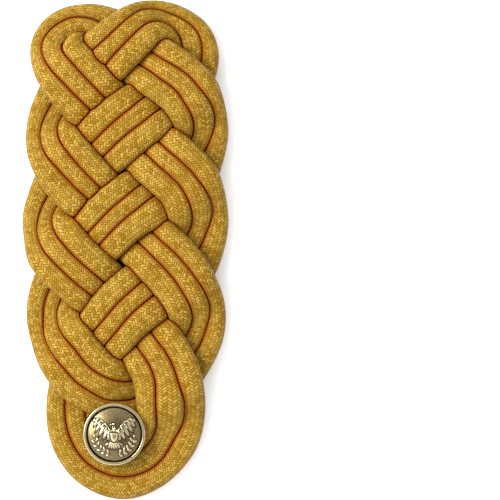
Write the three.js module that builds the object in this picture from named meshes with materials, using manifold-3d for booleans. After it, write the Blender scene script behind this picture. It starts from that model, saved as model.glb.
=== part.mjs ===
// Shoulder knot: three gold braided cords plaited side by side on dark felt, with a gilt button.
// Millimetres, +Z up, lying face up. The long way of the knot is along Y, its button at the -Y end.
// The origin is on the underside of the felt, at the middle of the knot's box.

import * as THREE from 'three';
import { LoftGeometry } from 'three/addons/geometries/LoftGeometry.js';
import { mergeVertices } from 'three/addons/utils/BufferGeometryUtils.js';
import Module from 'manifold-3d';

// Driving dimensions

const feltThickness = 1.6;
const seat = 0.3; // clearance between pieces that rest on each other
const sideGap = 0.3; // clearance between cords that lie side by side
const cordHeight = 2.9;
const cordLift = 4.8; // rise of a cord's middle from an under pass to an over pass
const riseLength = 11; // longest run that a cord takes to rise next to a crossing
const levelRun = 0.5; // level run on each side of a crossing
const widestCord = 5.2; // the solids leave room where the soft cords press into each other
const cordSteps = 188; // sections along one cord
const cordSides = 8;
const buttonSides = 24;
const postSides = 14;
const domeSteps = 2;

const goldCord = { color: 0xd09a2c, roughness: 0.55, metalness: 0 };
const navyFelt = { color: 0x15121f, roughness: 0.95, metalness: 0 };
const gilt = { color: 0xd8cf9a, roughness: 0.25, metalness: 1 };

// Crossings of the plait: C down the centre, L and R down the sides. Columns: x and y of the middle
// cord, then the widths of the right, middle and left cord where the band passes over

const crossings = {
  C0: [-2.8, 52.9, 4.2, 4.3, 6.0],
  C1: [-0.7, 31.5, 6.2, 4.6, 6.0],
  C2: [-2.0, 9.1, 6.2, 4.2, 5.8],
  C3: [-0.9, -15.7, 6.0, 4.4, 6.2],
  L1: [-11.8, 42.0, 5.8, 5.0, 6.2],
  L2: [-12.7, 19.1, 5.8, 4.5, 5.8],
  L3: [-13.3, -4.6, 6.2, 4.8, 5.5],
  L4: [-11.1, -31.4, 6.2, 5.1, 5.4],
  R1: [14.2, 42.8, 4.6, 4.9, 5.8],
  R2: [12.6, 20.9, 6.4, 4.6, 5.8],
  R3: [12.0, -3.4, 6.4, 4.6, 5.2],
  R4: [9.7, -30.6, 6.2, 5.4, 5.6],
};

// The same three widths where the band passes under, squeezed by what lies on it

const underWidths = [3.9, 3.7, 3.9];

// The closed way of the middle cord: crossings by name, over and under by turns from an over pass,
// and the bends between them as x, y and the widths of the right, middle and left cord there

const route = [
  'L1', 'C1', 'R2',
  [16.6, 16.6, 6.2, 4.6, 5.3],
  [18.7, 11.0, 6.1, 5.1, 4.7],
  [18.5, 5.2, 6.0, 5.0, 4.8],
  'R3', 'C3', 'L4',
  [-12.9, -39.5, 4.7, 5.2, 3.6],
  [-11.8, -47.0, 4.8, 5.2, 3.4],
  [-7.7, -52.8, 5.2, 5.2, 3.4],
  [-0.9, -55.4, 5.5, 5.2, 3.6],
  [5.9, -53.0, 5.7, 5.4, 4.0],
  [10.0, -47.0, 5.8, 6.0, 4.4],
  [11.4, -40.0, 5.9, 6.4, 4.8],
  'R4', 'C3', 'L3',
  [-17.5, -0.1, 6.4, 4.8, 4.7],
  [-19.8, 4.8, 6.3, 4.3, 3.9],
  [-19.7, 9.8, 5.9, 4.0, 4.3],
  'L2', 'C1', 'R1',
  [16.9, 49.8, 4.4, 5.2, 4.2],
  [16.3, 54.3, 3.7, 5.0, 3.9],
  [13.0, 57.7, 2.9, 3.8, 3.7],
  [8.8, 59.3, 2.9, 3.2, 4.5],
  [4.0, 58.6, 2.8, 3.8, 5.6],
  'C0', 'L1',
  [-17.2, 35.9, 4.6, 4.4, 4.6],
  [-19.0, 31.0, 4.0, 4.4, 5.3],
  [-18.0, 25.9, 4.8, 4.6, 5.8],
  'L2', 'C2', 'R3',
  [16.6, -9.6, 6.3, 4.7, 4.9],
  [18.6, -15.8, 5.7, 4.7, 4.7],
  [17.4, -22.3, 4.8, 4.6, 4.9],
  'R4',
  [5.0, -34.2, 5.2, 4.6, 5.0],
  [-1.0, -35.7, 5.3, 4.7, 5.3],
  [-6.6, -34.3, 5.6, 4.7, 5.5],
  'L4',
  [-15.7, -26.3, 6.3, 4.9, 4.5],
  [-18.5, -20.4, 5.9, 4.4, 4.0],
  [-18.7, -13.8, 5.4, 4.1, 4.2],
  'L3', 'C2', 'R2',
  [19.2, 28.6, 4.6, 5.1, 4.3],
  [19.1, 34.8, 4.3, 5.2, 5.0],
  [17.0, 39.3, 4.8, 5.2, 5.4],
  'R1', 'C0',
  [-8.5, 56.9, 3.9, 4.0, 3.0],
  [-12.6, 57.6, 2.9, 3.9, 2.4],
  [-16.7, 55.8, 2.7, 3.9, 2.4],
  [-18.5, 52.2, 3.4, 4.4, 2.6],
  [-17.2, 48.4, 4.6, 4.9, 3.2],
];

// The cords by their place in the band

const cordPlaces = { outer_cord: 1, middle_cord: 0, inner_cord: -1 };

// The felt's outline, from the top notch round by the left side

const feltOutline = [
  [-2.7, 59.6],
  [-12.9, 61.0], [-20.8, 57.0], [-23.0, 51.0], [-20.4, 41.0],
  [-23.7, 34.0], [-24.1, 28.7], [-20.8, 18.5],
  [-24.4, 12.0], [-24.8, 5.4], [-20.8, -5.9],
  [-23.8, -12.0], [-23.6, -19.0], [-17.8, -33.0],
  [-18.8, -43.0], [-13.2, -56.0], [-1.9, -62.2], [13.2, -55.0], [19.2, -41.0],
  [18.2, -33.0],
  [23.8, -23.0], [24.6, -15.0], [20.9, -5.3],
  [24.8, 3.0], [25.1, 11.0], [21.8, 19.8],
  [24.9, 27.0], [24.8, 35.0], [21.2, 44.0],
  [22.4, 51.0], [17.6, 59.0], [7.5, 62.2],
];

// The button, a 16 mm one: a crimped front over a back plate with its post, centred at x, y

const button = {
  x: -2.8, y: -46.9, radius: 7.95,
  edgeZ: 7.5, // underside of the crimped edge
  rimHeight: 2.2, rimWidth: 0.8, groundZ: 9.2, domeRise: 1.7,
  wall: 0.9, plateThickness: 0.6, plateDrop: 1.4, postRadius: 1.2,
};

// Cords near the button are pressed down under it: from this far off its middle to this near

const pressedFrom = 12.5;
const pressedTo = 6;
const pressedZ = 4.9;

// The button's raised figure: a bird with lifted wings behind a plain shield, over two leafy sprigs.
// Outlines are x, y from the button's middle. The right wing and sprig are mirrored to the left

const figureHeight = 0.4;
const shieldHeight = 0.7;
const wing = [
  [0.5, 1.3], [1.6, 2.3], [2.7, 3.6], [4.9, 4.1], [5.3, 2.6], [4.7, 2.5], [5.2, 1.1],
  [4.4, 1.1], [4.6, -0.3], [3.7, 0.1], [3.5, -1.3], [2.6, -0.7], [2.1, -1.7], [0.5, -1.2],
];
const head = [[-0.5, 0.9], [0.7, 0.9], [0.8, 2.4], [0.2, 3.0], [-0.5, 2.8], [-1.3, 2.1], [-0.5, 2.1]];
const tail = [[-0.8, -1.6], [-1.5, -3.9], [-0.5, -3.7], [0, -4.3], [0.5, -3.7], [1.5, -3.9], [0.8, -1.6]];
const shield = { halfWidth: 1.3, top: 0.8, side: -0.9, point: -2.4 };
const sprig = {
  radius: 5.5, from: -1.35, to: -0.25, // a stem along an arc, by its radius and end angles
  leaves: 3, leafLength: 1.8, leafWidth: 0.7, leafTurn: 0.7, stemWidth: 0.35,
};

// Levels

const lowZ = feltThickness + seat + cordHeight / 2;
const highZ = lowZ + cordLift;

const way = new THREE.CatmullRomCurve3(
  route.map((row) => {
    const [x, y] = typeof row === 'string' ? crossings[row] : row;
    return new THREE.Vector3(x, y, 0);
  }), true, 'centripetal');
way.arcLengthDivisions = 3000;

let passCount = 0;
const passes = [];
const widths = new THREE.CatmullRomCurve3(
  route.map((row, i) => {
    if (typeof row !== 'string') return new THREE.Vector3(row[2], row[3], row[4]);
    const over = passCount % 2 === 0;
    passCount += 1;
    passes.push({ t: i / route.length, over });
    return new THREE.Vector3(...(over ? crossings[row].slice(2) : underWidths));
  }), true, 'centripetal');

// A point of one cord in plan, with the direction to the band's right and the cord's width

function planPoint(place, t) {
  const centre = way.getPoint(t);
  const along = way.getTangent(t);
  const side = new THREE.Vector3(along.y, -along.x, 0);
  const width = widths.getPoint(t);
  const own = Math.min(widestCord, place > 0 ? width.x : place < 0 ? width.z : width.y);
  const offset = place * (width.y + own) / 2;
  return { point: centre.addScaledVector(side, offset), width: own - sideGap };
}

// Over or under by the nearest pass

function isOver(t) {
  let best = passes[0];
  let least = Infinity;
  for (const pass of passes) {
    const apart = Math.abs(t - pass.t);
    const round = Math.min(apart, 1 - apart);
    if (round < least) {
      least = round;
      best = pass;
    }
  }
  return best.over;
}

// Each cord's plan, in the same sections for all three

const plans = {};
for (const [name, place] of Object.entries(cordPlaces)) {
  const rows = [];
  for (let i = 0; i < cordSteps; i += 1) {
    const t = way.getUtoTmapping(i / cordSteps);
    rows.push({ t, ...planPoint(place, t) });
  }
  let run = 0;
  rows.forEach((row, i) => {
    row.run = run;
    run += row.point.distanceTo(rows[(i + 1) % cordSteps].point);
  });
  plans[name] = { rows, length: run };
}

// Where cord a is crossed in plan by cord b: runs along a, with the level there

function crossingRuns(a, b) {
  const found = [];
  const n = cordSteps;
  for (let i = 0; i < n; i += 1) {
    const p = a.rows[i].point;
    const q = a.rows[(i + 1) % n].point;
    for (let j = 0; j < n; j += 1) {
      const apart = Math.abs(i - j);
      if (Math.min(apart, n - apart) < 3) continue;
      const r = b.rows[j].point;
      const s = b.rows[(j + 1) % n].point;
      const cross = (q.x - p.x) * (s.y - r.y) - (q.y - p.y) * (s.x - r.x);
      if (Math.abs(cross) < 1e-9) continue;
      const u = ((r.x - p.x) * (s.y - r.y) - (r.y - p.y) * (s.x - r.x)) / cross;
      const v = ((r.x - p.x) * (q.y - p.y) - (r.y - p.y) * (q.x - p.x)) / cross;
      if (u < 0 || u >= 1 || v < 0 || v >= 1) continue;
      found.push({ run: a.rows[i].run + u * p.distanceTo(q), over: isOver(a.rows[i].t) });
    }
  }
  return found;
}

// Each pass crosses three cords, so the crossings come by threes that all lie at one level.
// The threes are counted from the start that leaves the fewest of them mixed, then vote

const cordsInBand = 3;

function voteByThrees(knots) {
  const groupsFrom = (start) => {
    const turned = [...knots.slice(start), ...knots.slice(0, start)];
    return turned.flatMap((_, i) => (i % cordsInBand ? [] : [turned.slice(i, i + cordsInBand)]));
  };
  const mixed = (group) => group[0].over !== group[cordsInBand - 1].over;
  const choices = [0, 1, 2].map(groupsFrom);
  const counts = choices.map((groups) => groups.filter(mixed).length);
  for (const group of choices[counts.indexOf(Math.min(...counts))]) {
    const over = group.filter((knot) => knot.over).length > cordsInBand / 2;
    for (const knot of group) knot.over = over;
  }
}

// The height of a cord's middle: level at its crossings, and a smooth rise or fall between
// an under and an over crossing, next to the over one where the way between them is long

function heights(plan) {
  const knots = Object.values(plans).flatMap((other) => crossingRuns(plan, other));
  knots.sort((m, n) => m.run - n.run);
  voteByThrees(knots);
  return plan.rows.map((row) => {
    let k = knots.findIndex((knot) => knot.run > row.run);
    if (k < 0) k = 0;
    const next = knots[k];
    const last = knots[(k + knots.length - 1) % knots.length];
    if (next.over === last.over) return next.over ? highZ : lowZ;
    const gap = (next.run - last.run + plan.length) % plan.length;
    const rise = Math.min(gap - 2 * levelRun, riseLength);
    const high = next.over ? next : last;
    const away = (next.over ? high.run - row.run : row.run - high.run);
    const distance = (away + plan.length) % plan.length;
    const share = THREE.MathUtils.smoothstep(distance, levelRun, levelRun + rise);
    return Math.min(highZ - cordLift * share, pressedLevel(row.point));
  });
}

function pressedLevel(point) {
  const away = Math.hypot(point.x - button.x, point.y - button.y);
  const share = THREE.MathUtils.smoothstep(away, pressedTo, pressedFrom);
  return THREE.MathUtils.lerp(pressedZ, highZ, share);
}

function cordGeometry(plan) {
  const levels = heights(plan);
  const middles = plan.rows.map((row, i) => new THREE.Vector3(row.point.x, row.point.y, levels[i]));
  const sections = middles.map((middle, i) => {
    const before = middles[(i + cordSteps - 1) % cordSteps];
    const after = middles[(i + 1) % cordSteps];
    const along = after.clone().sub(before).normalize();
    const side = new THREE.Vector3(along.y, -along.x, 0).normalize();
    const up = new THREE.Vector3().crossVectors(side, along);
    const section = [];
    for (let j = 0; j < cordSides; j += 1) {
      const angle = 2 * Math.PI * j / cordSides;
      section.push(middle.clone()
        .addScaledVector(up, Math.cos(angle) * cordHeight / 2)
        .addScaledVector(side, Math.sin(angle) * plan.rows[i].width / 2));
    }
    return section;
  });
  return closed(new LoftGeometry([...sections, sections[0]]));
}

// A geometry with only its places left, and each shared corner merged

function closed(geometry) {
  const plain = new THREE.BufferGeometry().copy(geometry);
  plain.deleteAttribute('normal');
  plain.deleteAttribute('uv');
  const merged = mergeVertices(plain, 1e-4);
  merged.computeVertexNormals();
  return merged;
}

function feltGeometry() {
  const curve = new THREE.CatmullRomCurve3(
    feltOutline.map(([x, y]) => new THREE.Vector3(x, y, 0)), true, 'centripetal');
  const outline = curve.getPoints(feltOutline.length * 2).slice(0, -1);
  const shape = new THREE.Shape(outline.map((p) => new THREE.Vector2(p.x, p.y)));
  const slit = new THREE.Path();
  slit.absarc(button.x, button.y, button.postRadius + seat, 0, 2 * Math.PI, true);
  shape.holes.push(slit);
  const geometry = new THREE.ExtrudeGeometry(shape, {
    depth: feltThickness, bevelEnabled: false, curveSegments: 12,
  });
  return closed(geometry);
}

// Solids of revolution about Z, from a profile of radius and height

function lathe(profile, sides = buttonSides) {
  const points = profile.map(([r, z]) => new THREE.Vector2(r, z)).reverse();
  const geometry = new THREE.LatheGeometry(points, sides);
  geometry.rotateX(Math.PI / 2);
  return closed(geometry);
}

function domeProfile(reach, lift) {
  const profile = [];
  for (let i = 0; i <= domeSteps; i += 1) {
    const radius = reach * i / domeSteps;
    const rise = button.domeRise * (1 - (radius / button.radius) ** 2);
    profile.push([radius, button.groundZ + lift + rise]);
  }
  return profile;
}

// Booleans

const wasm = await Module();
wasm.setup();

function solid(geometry) {
  return new wasm.Manifold(new wasm.Mesh({
    numProp: 3,
    vertProperties: geometry.attributes.position.array,
    triVerts: new Uint32Array(geometry.index.array),
  }));
}

function fromSolid(body) {
  const mesh = body.getMesh();
  const geometry = new THREE.BufferGeometry();
  geometry.setAttribute('position', new THREE.BufferAttribute(mesh.vertProperties, 3));
  geometry.setIndex(new THREE.BufferAttribute(mesh.triVerts, 1));
  return closed(geometry);
}

// A flat outline raised from inside the button's wall to a given height over its dome

function raised(outline, height) {
  const { groundZ, wall, domeRise, radius, rimWidth } = button;
  const base = groundZ - wall / 2;
  const prism = new THREE.ExtrudeGeometry(new THREE.Shape(outline.map(([x, y]) => new THREE.Vector2(x, y))), {
    depth: wall + domeRise + height, bevelEnabled: false,
  });
  prism.translate(0, 0, base);
  const ground = radius - rimWidth;
  const cap = lathe([...domeProfile(ground, height), [ground, base], [0, base]]);
  return solid(closed(prism)).intersect(solid(cap));
}

function mirrored(outline) {
  return outline.map(([x, y]) => [-x, y]).reverse();
}

function shieldOutline() {
  const { halfWidth, top, side, point } = shield;
  const shape = new THREE.Shape();
  shape.moveTo(-halfWidth, top);
  shape.lineTo(-halfWidth, side);
  shape.quadraticCurveTo(-halfWidth * 0.8, point * 0.8, 0, point);
  shape.quadraticCurveTo(halfWidth * 0.8, point * 0.8, halfWidth, side);
  shape.lineTo(halfWidth, top);
  return shape.getPoints(4).map((p) => [p.x, p.y]);
}

function leafOutline(x, y, turn) {
  const { leafLength, leafWidth } = sprig;
  const [dx, dy] = [Math.cos(turn), Math.sin(turn)];
  const corners = [[-0.15, 0], [0.45, -0.5], [1, 0], [0.45, 0.5]];
  return corners.map(([along, across]) => [
    x + along * leafLength * dx - across * leafWidth * dy,
    y + along * leafLength * dy + across * leafWidth * dx,
  ]);
}

function sprigOutlines() {
  const { radius, from, to, leaves, leafTurn, stemWidth } = sprig;
  const outer = [];
  const inner = [];
  const outlines = [];
  for (let i = 0; i <= leaves; i += 1) {
    const angle = from + (to - from) * i / leaves;
    const [x, y] = [Math.cos(angle), Math.sin(angle)];
    outer.push([x * (radius + stemWidth / 2), y * (radius + stemWidth / 2)]);
    inner.push([x * (radius - stemWidth / 2), y * (radius - stemWidth / 2)]);
    const ahead = angle + Math.PI / 2;
    const turns = i === leaves ? [0] : [leafTurn, -leafTurn];
    for (const turn of turns) outlines.push(leafOutline(x * radius, y * radius, ahead + turn));
  }
  outlines.push([...outer, ...inner.reverse()]);
  return outlines;
}

// The button's front: a dome inside a raised rim, hollow from below, with the figure on it

function frontGeometry() {
  const { radius, edgeZ, rimHeight, rimWidth, wall } = button;
  const ground = radius - rimWidth;
  const hollow = radius - wall;
  let front = solid(lathe([
    ...domeProfile(ground, 0),
    [ground + 0.15, edgeZ + rimHeight + 0.25],
    [radius - 0.2, edgeZ + rimHeight + 0.15],
    [radius, edgeZ + rimHeight - 0.3],
    [radius, edgeZ + 0.3],
    [radius - 0.25, edgeZ],
    [hollow, edgeZ],
    ...domeProfile(hollow, -wall).reverse(),
  ]));
  const oneSide = [wing, ...sprigOutlines()];
  for (const outline of [...oneSide, ...oneSide.map(mirrored), head, tail]) {
    front = front.add(raised(outline, figureHeight));
  }
  return fromSolid(front.add(raised(shieldOutline(), shieldHeight)));
}

function postGeometry() {
  const { radius, edgeZ, wall, plateThickness, plateDrop, postRadius } = button;
  const plateRadius = radius - wall - seat;
  const plateTop = edgeZ + plateThickness;
  return lathe([
    [0, plateTop],
    [plateRadius, plateTop],
    [plateRadius, edgeZ + 0.1],
    [postRadius + 1.5, edgeZ - plateDrop + 0.2],
    [postRadius, edgeZ - plateDrop],
    [postRadius, seat],
    [0, seat],
  ], postSides);
}

const knot = new THREE.Group();

function add(name, geometry, finish) {
  const mesh = new THREE.Mesh(geometry, new THREE.MeshStandardMaterial(finish));
  mesh.name = name;
  knot.add(mesh);
}

for (const name of Object.keys(cordPlaces)) add(name, cordGeometry(plans[name]), goldCord);
add('backing', feltGeometry(), navyFelt);
for (const [name, geometry] of [['button_front', frontGeometry()], ['button_post', postGeometry()]]) {
  geometry.translate(button.x, button.y, 0);
  add(name, geometry, gilt);
}

// The origin goes to the middle of the knot's box

const middle = new THREE.Box3().setFromObject(knot).getCenter(new THREE.Vector3());
for (const mesh of knot.children) mesh.geometry.translate(-middle.x, -middle.y, 0);

export default knot;
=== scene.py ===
"""A shoulder knot: three braided gold cords plaited side by side on dark felt, with a gilt button.

The sizes and the way of the cords are those of the solids. Here the soft cords take their full
width, press into each other and show their braid, and the button gets its raised figure.
"""

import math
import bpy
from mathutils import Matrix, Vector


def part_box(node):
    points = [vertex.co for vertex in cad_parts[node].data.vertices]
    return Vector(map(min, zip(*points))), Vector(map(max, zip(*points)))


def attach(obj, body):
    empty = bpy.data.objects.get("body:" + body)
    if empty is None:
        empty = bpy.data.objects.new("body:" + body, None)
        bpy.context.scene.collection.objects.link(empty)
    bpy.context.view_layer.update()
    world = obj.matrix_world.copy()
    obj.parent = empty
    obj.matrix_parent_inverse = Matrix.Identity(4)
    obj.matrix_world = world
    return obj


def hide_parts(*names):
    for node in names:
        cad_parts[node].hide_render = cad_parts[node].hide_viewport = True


bl_info = {
    "name": "Shoulder knot",
    "version": (1, 0, 0),
    "blender": (4, 5, 0),
    "location": "3D View > Sidebar > Shoulder knot",
    "description": "Plaits a shoulder knot of gold cord on felt, with its gilt button",
    "category": "Object",
}

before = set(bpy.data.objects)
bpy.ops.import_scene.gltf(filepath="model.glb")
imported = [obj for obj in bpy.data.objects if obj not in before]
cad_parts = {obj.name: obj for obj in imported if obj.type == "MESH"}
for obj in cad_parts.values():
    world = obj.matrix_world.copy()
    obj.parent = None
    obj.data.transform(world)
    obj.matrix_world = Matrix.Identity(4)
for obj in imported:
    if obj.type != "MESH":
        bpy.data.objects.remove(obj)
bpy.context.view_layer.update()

import bmesh
import bpy
import numpy as np
from bpy.props import FloatProperty, FloatVectorProperty, IntProperty, PointerProperty
from bpy.types import Operator, Panel, PropertyGroup
from mathutils import Matrix, Vector

MM = 0.001

# Crossings of the plait: C down the centre, L and R down the sides. Columns, in mm: x and y of the
# middle cord, then the widths of the right, middle and left cord where the band passes over.
CROSSINGS = {
    "C0": (-2.8, 52.9, 4.2, 4.3, 6.0),
    "C1": (-0.7, 31.5, 6.2, 4.6, 6.0),
    "C2": (-2.0, 9.1, 6.2, 4.2, 5.8),
    "C3": (-0.9, -15.7, 6.0, 4.4, 6.2),
    "L1": (-11.8, 42.0, 5.8, 5.0, 6.2),
    "L2": (-12.7, 19.1, 6.5, 4.5, 5.8),
    "L3": (-13.3, -4.6, 6.2, 4.8, 5.5),
    "L4": (-11.1, -31.4, 6.2, 5.1, 5.4),
    "R1": (14.2, 42.8, 4.6, 4.9, 5.8),
    "R2": (12.6, 20.9, 6.4, 4.6, 5.8),
    "R3": (12.0, -3.4, 6.4, 4.6, 5.2),
    "R4": (9.7, -30.6, 6.2, 5.4, 5.6),
}

# The closed way of the middle cord: crossings by name, over and under by turns from an over pass,
# and the bends between them as x, y and the widths of the right, middle and left cord there. Where
# the band passes under inside the knot, its widths come from the places next to the crossing.
ROUTE = (
    "L1", "C1", "R2",
    (16.6, 16.6, 6.2, 4.6, 5.6),
    (18.7, 11.0, 6.1, 5.1, 4.7),
    (18.3, 5.2, 6.0, 4.9, 5.4),
    "R3", "C3", "L4",
    (-12.9, -39.5, 4.9, 5.2, 3.6),
    (-11.8, -47.0, 5.2, 5.2, 3.4),
    (-7.7, -52.8, 5.5, 5.2, 3.4),
    (-0.9, -55.4, 5.8, 5.2, 3.6),
    (5.9, -53.0, 5.4, 5.4, 4.0),
    (9.7, -47.0, 6.3, 5.9, 4.4),
    (10.8, -40.0, 6.4, 6.4, 4.8),
    "R4", "C3", "L3",
    (-17.5, -0.1, 6.4, 4.8, 5.6),
    (-19.8, 4.8, 6.3, 4.3, 4.4),
    (-19.7, 9.8, 5.9, 4.0, 4.5),
    "L2", "C1", "R1",
    (16.9, 49.8, 4.4, 5.2, 4.2),
    (16.3, 54.3, 3.3, 5.0, 3.9),
    (13.0, 57.7, 2.9, 3.8, 3.7),
    (8.8, 59.3, 2.9, 3.2, 4.5),
    (4.0, 58.6, 3.1, 3.8, 5.6),
    "C0", "L1",
    (-17.2, 35.9, 4.8, 4.4, 4.6),
    (-19.0, 31.0, 4.3, 4.4, 5.3),
    (-18.0, 25.9, 5.1, 4.6, 5.8),
    "L2", "C2", "R3",
    (16.6, -9.6, 6.3, 4.7, 4.7),
    (18.6, -15.8, 5.7, 4.7, 4.6),
    (17.4, -22.3, 4.8, 4.6, 5.1),
    "R4",
    (5.0, -34.2, 5.2, 4.6, 5.0),
    (-1.0, -35.7, 5.3, 4.7, 5.3),
    (-6.6, -34.3, 5.6, 4.7, 5.5),
    "L4",
    (-15.2, -26.0, 6.0, 4.9, 5.4),
    (-18.3, -20.4, 5.8, 4.4, 4.4),
    (-18.7, -13.8, 5.4, 4.1, 4.6),
    "L3", "C2", "R2",
    (19.0, 28.6, 4.6, 5.1, 4.3),
    (19.1, 34.8, 4.0, 5.2, 5.0),
    (17.0, 39.3, 4.8, 5.2, 5.4),
    "R1", "C0",
    (-8.5, 56.7, 4.3, 4.4, 5.0),
    (-12.6, 57.3, 3.2, 4.5, 4.4),
    (-16.4, 55.5, 3.2, 4.8, 4.4),
    (-18.2, 52.1, 3.7, 5.0, 5.2),
    (-17.1, 48.3, 4.6, 5.1, 5.8),
)

# Where the band passes under at the knot's edge it keeps more of its width, which shows beside the
# crossing: its place and widths there, in the same columns.
UNDER_PASSES = {
    "R2": (13.2, 20.3, 7.6, 4.5, 4.9),
    "R3": (13.0, -4.1, 5.8, 4.5, 7.2),
    "R4": (9.9, -30.8, 4.8, 4.4, 7.1),
    "L1": (-12.0, 42.2, 6.6, 4.2, 5.1),
    "L2": (-13.0, 19.4, 5.8, 4.1, 6.9),
    "L3": (-13.5, -4.4, 5.6, 4.0, 6.2),
    "C0": (-2.8, 52.9, 6.2, 4.5, 5.2),
}

# How much of the widths beside it a cord keeps where it passes under inside the knot.
UNDER_SHARE = 0.96

# Where the inner cord turns so tightly that it folds over itself, in mm, how near a rise of it is
# to belong to the fold, how much each cord is lifted or sunk there, and between which distances
# that fades in.
FOLD_AT = (-14.0, 52.5)
FOLD_REACH = 5.0
FOLD_RISE = {"inner_cord": 0.8, "middle_cord": 0.0, "outer_cord": -2.2}
FOLD_FADE = (7.5, 3.0)

# How far a cord stays level beside a crossing, in mm.
LEVEL_STRETCH = 0.5

# Where the button presses the cords down: from and to these distances, to this level, in mm.
PRESSED_FROM, PRESSED_TO, PRESSED_LEVEL = 12.5, 6.0, 4.9

# Places along a cord's way: enough to find its crossings, and enough to measure it.
COARSE_PLACES, FINE_PLACES = 610, 7320

# The cords by their place in the band, 1 on the right of its way.
CORD_PLACES = {"outer_cord": 1, "middle_cord": 0, "inner_cord": -1}

# The felt's outline in mm, from the top notch round by the left side.
FELT_OUTLINE = (
    (-2.7, 59.6),
    (-12.9, 61.0), (-20.8, 57.0), (-23.0, 51.0), (-20.4, 41.0),
    (-23.7, 34.0), (-24.1, 28.7), (-20.8, 18.5),
    (-24.4, 12.0), (-24.8, 5.4), (-20.8, -5.9),
    (-23.8, -12.0), (-23.6, -19.0), (-17.8, -33.0),
    (-18.8, -43.0), (-13.2, -56.0), (-1.9, -62.2), (13.2, -55.0), (19.2, -41.0),
    (18.2, -33.0),
    (23.8, -23.0), (24.6, -15.0), (20.9, -5.3),
    (24.8, 3.0), (25.1, 11.0), (21.8, 19.8),
    (24.9, 27.0), (24.8, 35.0), (21.2, 44.0),
    (22.4, 51.0), (17.6, 59.0), (7.5, 62.2),
)

# The button's middle in the same measure, and how the tables lie to the frame.
BUTTON_AT = (-2.8, -46.9)
post_low, post_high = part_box("button_post")
SHIFT = np.array([
    (post_low.x + post_high.x) / 2 / MM - BUTTON_AT[0],
    (post_low.y + post_high.y) / 2 / MM - BUTTON_AT[1],
])

# The photograph's frame: its size in pixels, the width of one pixel in mm, and the pixel
# that lies on the middle of the tables.
FRAME_PIXELS = 500
PIXEL_MM = 0.255
MIDDLE_PIXEL = (125.5, 250.0)

COLOUR = {"subtype": "COLOR", "size": 3, "min": 0, "max": 1}


class KnotCordSettings(PropertyGroup):
    """Sizes and colours of the braided cords"""

    low_level: FloatProperty(
        name="Under level", description="Height of a cord's middle where it passes under",
        default=3.35 * MM, unit="LENGTH")
    high_level: FloatProperty(
        name="Over level", description="Height of a cord's middle where it passes over",
        default=8.15 * MM, unit="LENGTH")
    rise_length: FloatProperty(
        name="Rise", description="Longest run that a cord takes to rise next to a crossing",
        default=11 * MM, unit="LENGTH")
    half_height: FloatProperty(
        name="Half height", description="Half of a cord's height, before it presses on others",
        default=2.35 * MM, unit="LENGTH")
    stiffness: FloatProperty(
        name="Stiffness", description="Length over which a tight bend is evened out",
        default=1.1 * MM, unit="LENGTH")
    fullness: FloatProperty(
        name="Fullness", description="Width of a cord on its own, over the width it is left",
        default=1.3, min=1.0, max=1.5)
    squareness: FloatProperty(
        name="Squareness", description="Power of a cord's section: 2 is an ellipse",
        default=2.6, min=2.0, max=4.0)
    stitch_length: FloatProperty(
        name="Stitch", description="Length of one stitch of the braid",
        default=0.73 * MM, unit="LENGTH")
    stitch_relief: FloatProperty(
        name="Stitch relief", description="Height of a stitch over the grooves round it",
        default=0.15 * MM, unit="LENGTH")
    braid_columns: IntProperty(
        name="Columns", description="Columns of stitches round a cord", default=20, min=8, max=32)
    stitch_lean: FloatProperty(
        name="Stitch lean", description="How far a stitch leans along the cord, in stitches",
        default=0.8, min=0.2, max=1.5)
    faces_round: IntProperty(
        name="Faces round", description="Faces round a cord", default=38, min=16, max=64)
    stitch_sections: IntProperty(
        name="Stitch sections", description="Sections of the cord in one stitch",
        default=3, min=1, max=6)
    gold: FloatVectorProperty(
        name="Gold", description="Colour of the raised threads",
        default=(0.19, 0.102, 0.003), **COLOUR)
    # Painted shade: the grooves between the stitches are coloured darker than the raised threads.
    gold_shade: FloatVectorProperty(
        name="Groove gold", description="Colour in the grooves between the stitches",
        default=(0.1, 0.034, 0.0003), **COLOUR)
    # Painted shade: a dark reddish colour laid where two cords meet, in place of the shade between
    # them.
    crease_shade: FloatVectorProperty(
        name="Crease", description="Colour deep between two cords",
        default=(0.12, 0.006, 0.0002), **COLOUR)


class KnotFeltSettings(PropertyGroup):
    """Sizes and colour of the felt backing"""

    thickness: FloatProperty(
        name="Thickness", description="Thickness of the felt", default=1.6 * MM, unit="LENGTH")
    edge: FloatProperty(
        name="Edge", description="Rounding of the cut edge", default=0.3 * MM, unit="LENGTH")
    hole_radius: FloatProperty(
        name="Hole", description="Radius of the hole for the button's post",
        default=1.5 * MM, unit="LENGTH")
    navy: FloatVectorProperty(
        name="Navy", description="Colour of the felt",
        default=(0.008, 0.007, 0.016), **COLOUR)


class KnotButtonSettings(PropertyGroup):
    """Sizes and colour of the gilt button"""

    radius: FloatProperty(
        name="Radius", description="Radius of the button", default=7.95 * MM, unit="LENGTH")
    edge_level: FloatProperty(
        name="Edge level", description="Height of the crimped edge's underside",
        default=7.5 * MM, unit="LENGTH")
    ground_level: FloatProperty(
        name="Ground level", description="Height of the dome at the button's edge",
        default=9.2 * MM, unit="LENGTH")
    dome_rise: FloatProperty(
        name="Dome", description="Rise of the dome over the whole radius",
        default=1.7 * MM, unit="LENGTH")
    rim_width: FloatProperty(
        name="Rim", description="Width of the raised rim", default=1.1 * MM, unit="LENGTH")
    wall: FloatProperty(
        name="Wall", description="Thickness of the pressed sheet", default=0.9 * MM, unit="LENGTH")
    gilt: FloatVectorProperty(
        name="Gilt", description="Colour of the polished gilt",
        default=(0.52, 0.43, 0.26), **COLOUR)
    # Painted shade: this darker matt gilt also fills the pits of the stipple.
    gilt_shade: FloatVectorProperty(
        name="Matt gilt", description="Colour of the stippled ground",
        default=(0.1, 0.073, 0.028), **COLOUR)


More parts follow.
